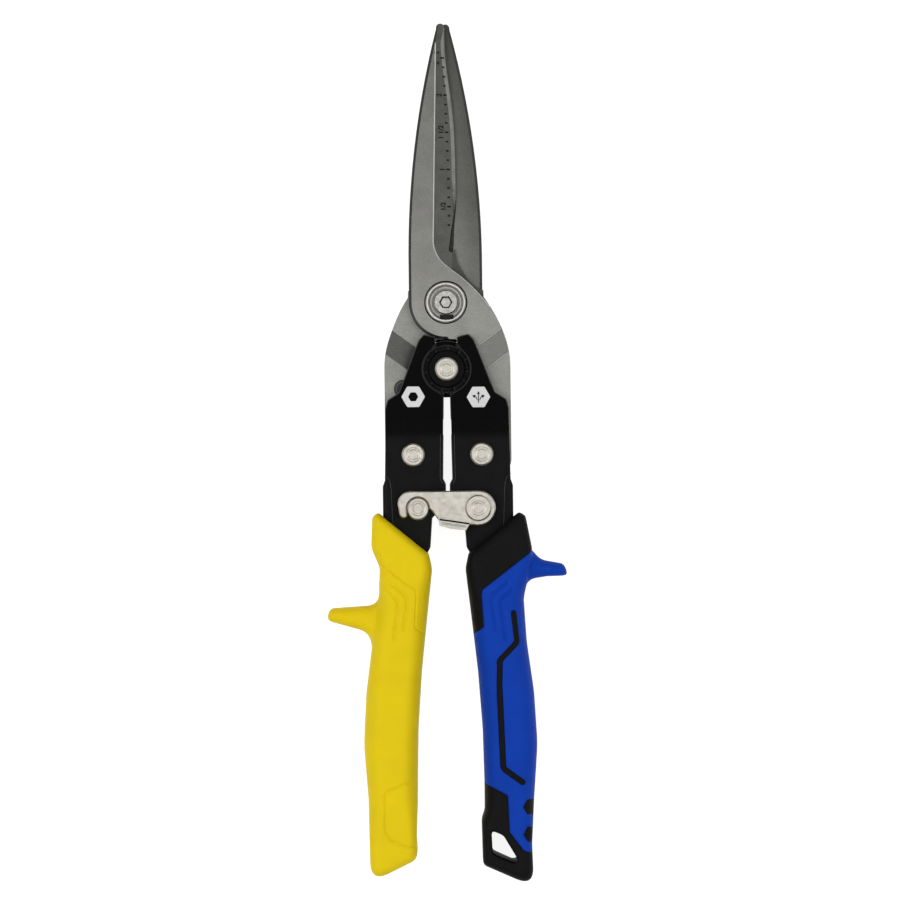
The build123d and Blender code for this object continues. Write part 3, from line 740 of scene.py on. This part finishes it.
# ---- thin pieces on the CAD faces ----------------------------------------------------------
class Surface:
    """A CAD node's faces at rest, for finding heights and edges on them."""

    def __init__(self, node):
        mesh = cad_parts[node].data
        self.points = [v.co / MM for v in mesh.vertices]
        self.faces = [tuple(p.vertices) for p in mesh.polygons]
        self.normals = [p.normal.copy() for p in mesh.polygons]
        self.tree = BVHTree.FromPolygons(self.points, self.faces)

    def height(self, x, y):
        """The height of the topmost face over a place, or None off the node."""
        for nudge in (0.0, 0.003, -0.003):
            hit = self.tree.ray_cast(Vector((x + nudge, y + nudge, 100)), Vector((0, 0, -1)))
            if hit[0]:
                return hit[0].z
        return None

    def creases(self, wanted):
        """Chains of mesh edges whose two faces and midpoint meet a test."""
        merged, sides = {}, {}
        keys = [tuple(round(c, 3) for c in p) for p in self.points]
        names = [merged.setdefault(key, len(merged)) for key in keys]
        where = dict(zip(names, self.points))
        for index, face in enumerate(self.faces):
            for a, b in zip(face, face[1:] + face[:1]):
                sides.setdefault(tuple(sorted((names[a], names[b]))), []).append(index)
        links = {}
        for (a, b), held in sides.items():
            if len(held) != 2 or a == b:
                continue
            first, second = (self.normals[h] for h in held)
            if wanted(first, second, (where[a] + where[b]) / 2):
                links.setdefault(a, set()).add(b)
                links.setdefault(b, set()).add(a)
        chains = []
        while links:
            ends = [v for v, near in links.items() if len(near) == 1]
            here = min(ends) if ends else min(links)
            chain = [here]
            while links.get(here):
                ahead = min(links[here])
                links[here].discard(ahead)
                links[ahead].discard(here)
                chain.append(ahead)
                here = ahead
            for v in list(links):
                if not links[v]:
                    del links[v]
            if len(chain) > 1:
                chains.append([where[v] for v in chain])
        return chains


def even(chain, step):
    """A chain resampled at about even steps."""
    runs = [(b - a).length for a, b in zip(chain, chain[1:])]
    total = sum(runs)
    count = max(2, round(total / step))
    out, at, run = [], 0.0, 0
    for k in range(count + 1):
        goal = total * k / count
        while run < len(runs) - 1 and at + runs[run] < goal:
            at += runs[run]
            run += 1
        share = min(1.0, (goal - at) / max(runs[run], 1e-9))
        out.append(chain[run].lerp(chain[run + 1], share))
    return out


def bead(name, chains, radius, body, material, shortest=1.5):
    """Fine round beads run along chains of points, as a softened edge whose paler colour is a painted
    highlight.
    """
    verts, faces = [], []
    sides = 6
    for chain in chains:
        if sum((b - a).length for a, b in zip(chain, chain[1:])) < shortest:
            continue
        closed = (chain[0] - chain[-1]).length < 1e-3
        line = even(chain, 0.7)
        first = len(verts)
        for k, point in enumerate(line):
            back = line[k - 1] if k else (line[-2] if closed else line[0])
            ahead = line[k + 1] if k < len(line) - 1 else (line[1] if closed else line[-1])
            way = (ahead - back).normalized()
            across = way.cross(Vector((0, 0, 1)))
            across = across.normalized() if across.length > 1e-6 else Vector((1, 0, 0))
            up = across.cross(way)
            taper = 1.0 if closed or 0 < k < len(line) - 1 else 0.35
            for j in range(sides):
                a = 2 * math.pi * j / sides
                verts.append(point + (across * math.cos(a) + up * math.sin(a)) * radius * taper)
        for k in range(len(line) - 1):
            for j in range(sides):
                a, b = first + k * sides + j, first + k * sides + (j + 1) % sides
                faces.append((a, b, b + sides, a + sides))
        faces.append(tuple(first + j for j in range(sides)))
        last = first + (len(line) - 1) * sides
        faces.append(tuple(last + j for j in reversed(range(sides))))
    return new_piece(name, verts, faces, body, material, smooth=70)


def flat(normal):
    return normal.z > 0.999


def wall(normal):
    return abs(normal.z) < 0.1


def plate(name, outline, surface, body, material, slot, rise, sink, holes=()):
    """A thin plate of some outline lying on a surface, with holes through it."""
    edges, verts = [], []
    for curve in (outline, *holes):
        first = len(verts)
        verts += [Vector(p) for p in curve]
        edges += [(first + i, first + (i + 1) % len(curve)) for i in range(len(curve))]
    coords, _, tris, _, _, _ = delaunay_2d_cdt(verts, edges, [], 0, 1e-5)
    coords = np.array([tuple(c) for c in coords])
    tris = np.array([t for t in tris if len(t) == 3])
    middles = coords[tris].mean(1)
    keep = inside(middles, outline)
    for hole in holes:
        keep &= ~inside(middles, hole)
    tris = tris[keep]
    used = np.unique(tris)
    number = {v: i for i, v in enumerate(used)}
    tops = [surface.height(*coords[v]) for v in used]
    found = [t for t in tops if t is not None]
    usual = sum(found) / len(found)
    tops = [usual if t is None else t for t in tops]
    out = [(*coords[v], z + rise) for v, z in zip(used, tops)]
    out += [(*coords[v], z - sink) for v, z in zip(used, tops)]
    count = len(used)
    faces, rim = two_sided(coords, tris, number)
    faces += [(u, u + count, v + count, v) for u, v in rim]
    return new_piece(name, out, faces, body, material, smooth=30)


def box_on(surface, centre, size, rise, sink=0.2):
    """The eight corners and six faces of a small bar laid on a surface."""
    ring = []
    for sx, sy in ((-1, -1), (1, -1), (1, 1), (-1, 1)):
        ring.append((centre[0] + sx * size[0] / 2, centre[1] + sy * size[1] / 2))
    middle = surface.height(*centre)
    tops = [surface.height(x, y) or middle for x, y in ring]
    verts = [(x, y, z + rise) for (x, y), z in zip(ring, tops)]
    verts += [(x, y, z - sink) for (x, y), z in zip(ring, tops)]
    faces = [(0, 1, 2, 3), (7, 6, 5, 4)]
    faces += [(i, i + 4, (i + 1) % 4 + 4, (i + 1) % 4) for i in range(4)]
    return verts, faces


INCH = 25.4
RULE_LOW = (1.5, 77.7)
RULE_HIGH = (-0.1, 134.9)
MARK_COUNT = 19
TICK = (0.85, 0.55)
HALF_INCH_TICK = (1.25, 0.55)
NUMERAL_SIZE = 2.3


def cut_edge(surface, y):
    """How far right the blade reaches at some height up it."""
    x = -2.0
    while surface.height(x, y) is not None:
        x += 0.05
    return x


def rule(surface, material):
    """Eighth-inch ticks up the bevel, and the half-inch numerals."""
    verts, faces = [], []
    for k in range(MARK_COUNT):
        y = RULE_LOW[1] + k * INCH / 8
        share = (y - RULE_LOW[1]) / (RULE_HIGH[1] - RULE_LOW[1])
        bow = 1.5 * share * (1 - share)
        x = RULE_LOW[0] + (RULE_HIGH[0] - RULE_LOW[0]) * share + bow
        x = min(x, cut_edge(surface, y) - 1.1)
        half_inch = k % 4 == 2
        got, sides = box_on(surface, (x, y), HALF_INCH_TICK if half_inch else TICK, 0.04)
        faces += [tuple(i + len(verts) for i in f) for f in sides]
        verts += got
        if half_inch:
            numeral(surface, x - 1.9, y, (k + 2) // 4, material)
    new_piece("rule_ticks", verts, faces, "front_blade", material)


def numeral(surface, x, y, halves, material):
    """A small numeral for so many half inches, reading up the blade."""
    whole, odd = divmod(halves, 2)
    text = (str(whole) if whole else "") + (" " if whole and odd else "") + ("1/2" if odd else "")
    curve = bpy.data.curves.new("numeral", "FONT")
    curve.body = text
    curve.size = NUMERAL_SIZE
    curve.align_x = "CENTER"
    curve.align_y = "CENTER"
    curve.extrude = 0.12
    curve.offset = 0.07
    source = bpy.data.objects.new("numeral", curve)
    bpy.context.scene.collection.objects.link(source)
    bpy.context.view_layer.update()
    mesh = bpy.data.meshes.new_from_object(source)
    bpy.data.objects.remove(source)
    verts = []
    for v in mesh.vertices:
        px, py = x - v.co.y, y + v.co.x
        base = surface.height(px, py) or surface.height(x, y)
        verts.append((px, py, base - 0.09 + v.co.z))
    faces = [tuple(p.vertices) for p in mesh.polygons]
    new_piece(f"numeral_{halves}", verts, faces, "front_blade", material)


PIVOT = Vector((0, 51.2))
HANDLE_PIVOT = Vector((0, 28.4))
DISH_R = 9.4
EDGE_BAND = 1.25
SERRATED_TO = 104.0
BAND_LOW = (3.25, 83.5)
BAND_KNEE = (2.5, 93.0)
BAND_STEP = 0.35
BAND_TOP = 145.2
TIP_Y = 146.0
TOOTH = 0.05


def ground_edge(surface, material):
    """The narrow second bevel along the cutting edge, with fine serrations near the throat."""
    ys = np.arange(BAND_LOW[1], BAND_TOP, BAND_STEP)
    xs = np.array([cut_edge(surface, y) for y in ys]) - 0.12
    xs = np.convolve(np.pad(xs, 4, mode="edge"), np.ones(9) / 9, "valid")
    run = (BAND_KNEE[0] - BAND_LOW[0]) / (BAND_KNEE[1] - BAND_LOW[1])
    across = (0.0, 0.15, 0.85, 1.0)
    verts, faces = [], []
    for k, (y, x) in enumerate(zip(ys, xs)):
        width = EDGE_BAND * min(1.0, (TIP_Y - y) / 6)
        if y < BAND_KNEE[1]:
            width = max(0.25, x - (BAND_LOW[0] + run * (y - BAND_LOW[1])))
        tooth = TOOTH if k % 2 and y < SERRATED_TO else 0.0
        spots = [x - width * (1 - a) for a in across]
        tops = [surface.height(spot, y) or surface.height(x - 0.6, y) for spot in spots]
        lift = (0.0, 0.03 + tooth, 0.03 + tooth, 0.0)
        verts += [(spot, y, z + up) for spot, z, up in zip(spots, tops, lift)]
        verts += [(spot, y, z - 0.25) for spot, z in zip(reversed(spots), reversed(tops))]
    ring = 8
    for k in range(len(ys) - 1):
        for j in range(ring):
            a, b = k * ring + j, k * ring + (j + 1) % ring
            faces.append((a, a + ring, b + ring, b))
    faces.append(tuple(range(ring)))
    last = (len(ys) - 1) * ring
    faces.append(tuple(last + j for j in reversed(range(ring))))
    new_piece("ground_edge", verts, faces, "front_blade", material, smooth=20)


BADGE_R = 7.0 / math.sqrt(3)     # 7 mm over the flats
LEFT_BADGE = (-11.5, 19.0)
RIGHT_BADGE = (10.8, 18.7)
BADGE_LIFT = (0.06, 0.2)
ARROW = [
    (-0.16, -2.0), (0.16, -2.0), (0.16, 1.1), (0.62, 0.9), (0.0, 2.0), (-0.62, 0.9), (-0.16, 1.1),
]
HOOK = [
    (0.34, -1.3), (0.62, -1.0), (0.85, -0.35), (1.25, 0.0), (1.5, -0.42), (2.15, 0.62),
    (0.9, 0.75), (1.1, 0.3), (0.62, -0.1), (0.36, -0.8),
]


def badges(left_surface, right_surface, pale):
    """Pale hexagons printed on the frames: a hexagon key and the directions of cut."""
    plate("left_badge", hexagon(LEFT_BADGE, BADGE_R), left_surface, "left_handle",
          pale, "black_enamel", *BADGE_LIFT, [hexagon(LEFT_BADGE, 1.75)])
    cx, cy = RIGHT_BADGE
    cuts = [np.array([(cx + x, cy + y) for x, y in ARROW])]
    for way in (-1, 1):
        cuts.append(np.array([(cx + way * x, cy + y) for x, y in HOOK]))
    plate("right_badge", hexagon(RIGHT_BADGE, BADGE_R), right_surface, "right_handle",
          pale, "black_enamel", *BADGE_LIFT, cuts)


def circle(centre, radius, count=48, start=0.0, sweep=2 * math.pi):
    """Points round a circle, or along an arc of it with its end included."""
    whole = sweep == 2 * math.pi
    turns = [start + sweep * k / (count if whole else count - 1) for k in range(count)]
    cx, cy = centre
    return np.array([(cx + radius * math.cos(a), cy + radius * math.sin(a)) for a in turns])


def disc(name, centre, radius, surface, body, base, ring, slot):
    """A dark stamped disc with a pale ring in it."""
    plate(name, circle(centre, radius), surface, body, base, slot, 0.05, 0.2)
    edge, hole = circle(centre, 0.8 * radius), circle(centre, 0.7 * radius)
    plate(name + "_ring", edge, surface, body, ring, slot, 0.08, 0.2, [hole])


def sector(name, centre, radii, heights, start, sweep, body, material):
    """A flat sector of a ring between two heights."""
    count = 40
    outer = circle(centre, radii[1], count, start, sweep)
    inner = circle(centre, radii[0], count, start, sweep)
    verts = []
    for z in heights:
        verts += [(*p, z) for p in outer] + [(*p, z) for p in inner]
    o, i, top = 0, count, 2 * count
    faces = []
    for k in range(count - 1):
        faces.append((o + k, i + k, i + k + 1, o + k + 1))
        faces.append((top + o + k, top + o + k + 1, top + i + k + 1, top + i + k))
        faces.append((o + k, o + k + 1, top + o + k + 1, top + o + k))
        faces.append((i + k, top + i + k, top + i + k + 1, i + k + 1))
    faces.append((o, top + o, top + i, i))
    end = count - 1
    faces.append((o + end, i + end, top + i + end, top + o + end))
    return new_piece(name, verts, faces, body, material, smooth=30)


# ---- build ---------------------------------------------------------------------------------
camera()
sky()
floor()
TARGET = (0, 0, 0)
softbox("left_softbox", (-0.8, 0.1, 1.0), TARGET, (0.9, 1.3), 9)
softbox("right_softbox", (0.8, 0.1, 1.0), TARGET, (0.9, 1.3), 7)
softbox("near_softbox", (0.0, -0.9, 1.1), TARGET, (1.3, 0.6), 4)

GRIP_GRAIN = (3.5, 0.02)
yellow = matt("yellow_moulding", (0.68, 0.505, 0.004), 0.55, GRIP_GRAIN, mottle=0.03, specular=0.08)
blue = matt("blue_elastomer", (0.0025, 0.039, 0.34), 0.6, GRIP_GRAIN, mottle=0.05, specular=0.07)
black_shell = matt("black_moulding", (0.0045, 0.0045, 0.005), 0.6, grain=(3.0, 0.02), specular=0.07)
# painted sheen: the enamel is paler on the frames' lower panels
ENAMEL_SHEEN_LEVELS = [(-50, 0.007), (4, 0.006), (7, 0.0006), (50, 0.0009)]
enamel = pressed_enamel("black_enamel", ENAMEL_SHEEN_LEVELS, 0.42, 0.045)
washer_black = matt("black_washer", (0.0012, 0.0012, 0.0013), 0.4, grain=(1.2, 0.01), specular=0.08)
# paler blacks for the beads of painted highlight on the frames' edges, folds and dish rims
edge_highlight_black = matt("black_edge_highlight", (0.022, 0.022, 0.024), 0.4, grain=(2.0, 0.01), specular=0.35)
rim_highlight_black = matt("rim_highlight_black", (0.010, 0.010, 0.011), 0.5, grain=(2.0, 0.01), specular=0.2)
# a black for painted shade in the washer's well, the bolt's socket and the tab's fold
painted_shade_black = matt("painted_shade_black", (0.004, 0.004, 0.004), 0.7, grain=(2.0, 0.01), specular=0.05)
shadow_steel = metal("throat_shade_steel", (0.038, 0.038, 0.036), 0.5, grain=(2.0, 0.01))
# painted light and shade: each blade's steel is paler or darker by place along, across and down it, and
# darker on its slopes and walls, beside the real finishes
front_steel = blade_steel(
    "blasted_steel_painted_shading",
    along=[(20, 0.26), (48, 0.265), (62, 0.225), (80, 0.20), (110, 0.185), (145, 0.165)],
    across=[(-20, 1), (20, 1)],
    low_flat_shade=[(12.7, 0.32), (13.1, 1.0)],
    slopes=[(40, 0.18), (50, 0.072), (110, 0.066), (145, 0.06)],
    wall_level=0.6,
)
back_steel = blade_steel(
    "ground_steel_painted_shading",
    along=[(20, 0.27), (46, 0.27), (60, 0.20), (85, 0.135), (145, 0.075)],
    across=[(-20, 1), (4, 1), (8, 0.8), (13, 0.66)],
    low_flat_shade=[(0, 1), (22, 1)],
    slopes=[(40, 0.13), (50, 0.09)],
    wall_level=0.4,
)
# a pale steel for the beads of painted highlight along edges
highlight_steel = metal("edge_highlight_steel", (0.44, 0.44, 0.42), 0.5, grain=(3.0, 0.005))
band_steel = metal("band_steel", (0.125, 0.125, 0.117), 0.38, grain=(3.0, 0.005))
ink = matt("etched_mark", (0.008, 0.008, 0.008), 0.7, grain=(4.0, 0.01), specular=0.05)
print_pale = matt("pale_print", (0.58, 0.58, 0.58), 0.6, grain=(2.0, 0.01))
stamp_black = matt("stamp_black", (0.012, 0.012, 0.012), 0.5, grain=(2.0, 0.01))
# the machined parts' darker slopes and walls are painted shade
bright = machined("bright_steel", (0.60, 0.585, 0.55), 0.35, 0.08)
# painted shade: the cup washer's steel darkens down into its dish
CUP_SHADE_LEVELS = [(14.7, 0.03), (15.15, 0.12), (15.25, 0.55), (16.3, 0.8)]
cup_steel = dished("cup_washer_steel", (0.78, 0.77, 0.73), CUP_SHADE_LEVELS, 0.55)
bolt_steel = machined("bolt_steel", (0.78, 0.765, 0.72), 0.32, 0.08)
nickel = machined("nickel_plate", (0.62, 0.59, 0.525), 0.9, 0.25, rough=0.36)
wire = metal("spring_wire", (0.3, 0.3, 0.3), 0.35)
HEAD_AXES = [(11.7, -0.8), (-11.7, -0.8), (10.3, -19.2), (-10.3, -19.2), (0, 28.4)]
heads = turned("rivet_heads", (0.60, 0.57, 0.505), 0.38, HEAD_AXES)

FINISHES = {
    "front_blade": front_steel, "back_blade": back_steel, "pivot_bolt": bolt_steel,
    "pivot_cup_washer": cup_steel, "pivot_back_washer": bright, "pivot_nut": bright,
    "right_link_rivet": heads, "left_link_rivet": heads, "catch_stud": heads,
    "latch_rivet": heads, "handle_rivet": heads, "latch_spacer": bright, "latch": nickel,
    "pivot_cover_front": washer_black, "pivot_cover_back": washer_black,
    "left_handle_frame": enamel, "right_handle_frame": enamel,
}
for node, finish in FINISHES.items():
    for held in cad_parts[node].material_slots:
        held.material = finish

# the spring lies across the handle pivot, its two legs at x = 5 and -5 by the two handles; here it is
# the CAD node's shape welded into one mesh, riding on no body
coil = Surface("handle_spring")
spring = new_piece("return_spring", coil.points, coil.faces, None, wire)
welded = bmesh.new()
welded.from_mesh(spring.data)
bmesh.ops.remove_doubles(welded, verts=welded.verts, dist=0.0005 * MM)
welded.to_mesh(spring.data)
welded.free()
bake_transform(spring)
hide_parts("handle_spring")

left = Grip(-1, LEFT_GRIP, LEFT_GUARD, LEFT_COVER, None, None, [])
left.piece("left_grip_core", False, "left_handle", yellow, "yellow_shell", "left_grip_base")
left.piece("left_grip_skin", True, "left_handle", yellow, "yellow_soft", "left_grip_cover")
right = Grip(1, RIGHT_GRIP, RIGHT_GUARD, RIGHT_COVER, HANG_HOLE, RIB, HEXAGONS)
right.piece("right_grip_core", False, "right_handle", black_shell, "black_shell", "right_grip_base")
right.piece("right_grip_skin", True, "right_handle", blue, "blue_soft", "right_grip_cover")

front = Surface("front_blade")
back = Surface("back_blade")


def worn(a, b, p):
    """Where a flat top meets the bevel, its run-out or a crank, or the land's own cut side: the creases
    that carry a painted highlight.
    """
    if p.z < MIDDLE + 2 or flat(a) == flat(b):
        return False
    other = b if flat(a) else a
    if 0.85 < other.z < 0.995:
        return True
    on_land = p.z > MIDDLE + 4.2 and -7 < p.x < 16 and 49 < p.y < 143
    return wall(other) and on_land and (p.xy - PIVOT).length > 9


bead("front_edge_highlight", front.creases(worn), 0.25, "front_blade", highlight_steel)
rule(front, ink)
ground_edge(front, band_steel)
left_frame = Surface("left_handle_frame")
right_frame = Surface("right_handle_frame")
badges(left_frame, right_frame, print_pale)
disc("stamp_disc", (-15.0, 21.8), 3.1, back, "back_blade", stamp_black, band_steel, "blade_steel")
# painted shade: a patch of dark steel on the back blade's face by the throat, where it lies in shadow
THROAT_SHADE = [
    (1.2, 88.0, 0), (3.75, 87.5, 1), (3.85, 84.0, 3), (3.15, 76.4, 3), (2.95, 71.0, 1),
    (2.6, 68.4, 0.6), (0.6, 67.8, 1), (0.6, 80.0, 1),
]
plate("throat_shade", rounded(THROAT_SHADE), back, "back_blade", shadow_steel, "blade_steel", 0.02, 0.2)
# painted shadow: a black ring at the bottom of the gap between the cup washer and its well
WELL_GAP = (6.98, 7.38)
plate("well_gap_shadow", circle(PIVOT, WELL_GAP[1], 72), front, "front_blade", painted_shade_black, "blade_steel",
      0.02, 0.1, [circle(PIVOT, WELL_GAP[0], 72)])
bolt = Surface("pivot_bolt")
SOCKET_R = 2.31
plate("socket_shade", hexagon(PIVOT, SOCKET_R), bolt, "front_blade", painted_shade_black, "bright_steel",
      0.05, 0.2, [hexagon(PIVOT, 0.76 * SOCKET_R)])
# a thin dark sheet under the boss is painted shade: it closes the view between the frames' horns, where
# the floor would show through
sector("boss_shade_sheet", PIVOT, (11.4, 13.9), (6.25, 6.5), math.radians(252.5), math.radians(35),
       "back_blade", washer_black)


def outline_top(a, b, p):
    """The top edge of a frame's outline, away from the dish."""
    if p.z < MIDDLE + 2 or (p.xy - HANDLE_PIVOT).length < DISH_R:
        return False
    return (flat(a) and wall(b)) or (flat(b) and wall(a))


def dish_rim(a, b, p):
    """The edges of the dished seat round the handle pivot."""
    return p.z > MIDDLE + 4.5 and (p.xy - HANDLE_PIVOT).length < DISH_R and (flat(a) or flat(b))


def slot_side(a, b, p):
    """The sides of the slot between the two frames."""
    return outline_top(a, b, p) and abs(p.x) < 4.5 and -12.5 < p.y < 17 and p.z < MIDDLE + 5


# the frames' outline edges, dish rims, slot sides and folds get beads in a paler black: painted
# highlights on their rounded edges
FOLD_LINE = [(21.2, -7.9), (19.9, -9.2), (19.4, -12.4), (18.7, -32.0)]
for way, side, surface in ((-1, "left", left_frame), (1, "right", right_frame)):
    chains = surface.creases(outline_top)
    bead(f"{side}_frame_edge_highlight", chains, 0.16, f"{side}_handle", edge_highlight_black)
    chains = surface.creases(dish_rim)
    bead(f"{side}_dish_rim", chains, 0.34, f"{side}_handle", rim_highlight_black)
    shift = Vector((way * 0.9, 0, 0))
    chains = [[p + shift for p in chain] for chain in surface.creases(slot_side)]
    fold = [Vector((way * x, y, surface.height(way * x, y) or MIDDLE + 4.5)) for x, y in FOLD_LINE]
    bead(f"{side}_frame_roll_highlight", chains + [fold], 0.11, f"{side}_handle", edge_highlight_black)

latch_face = Surface("latch")
# painted shadow: a dark line in the fold at the root of the latch's thumb tab
TAB_ROOT = [(-2.75, -23.0, 0), (7.0, -24.5, 0)]
plate("tab_fold_shadow", stroke(TAB_ROOT, 0.5), latch_face, "latch", painted_shade_black, "nickel", 0.03, 0.2)
# painted highlight: a bright bead along the tab's crest
TAB_CREST = [(-2.6, -24.15), (6.3, -25.55)]
crest = [Vector((x, y, (latch_face.height(x, y) or 2 * MIDDLE - 0.5) - 0.15)) for x, y in TAB_CREST]
bead("tab_crest_highlight", [crest], 0.42, "latch", highlight_steel)

bpy.context.scene.view_settings.view_transform = "Standard"
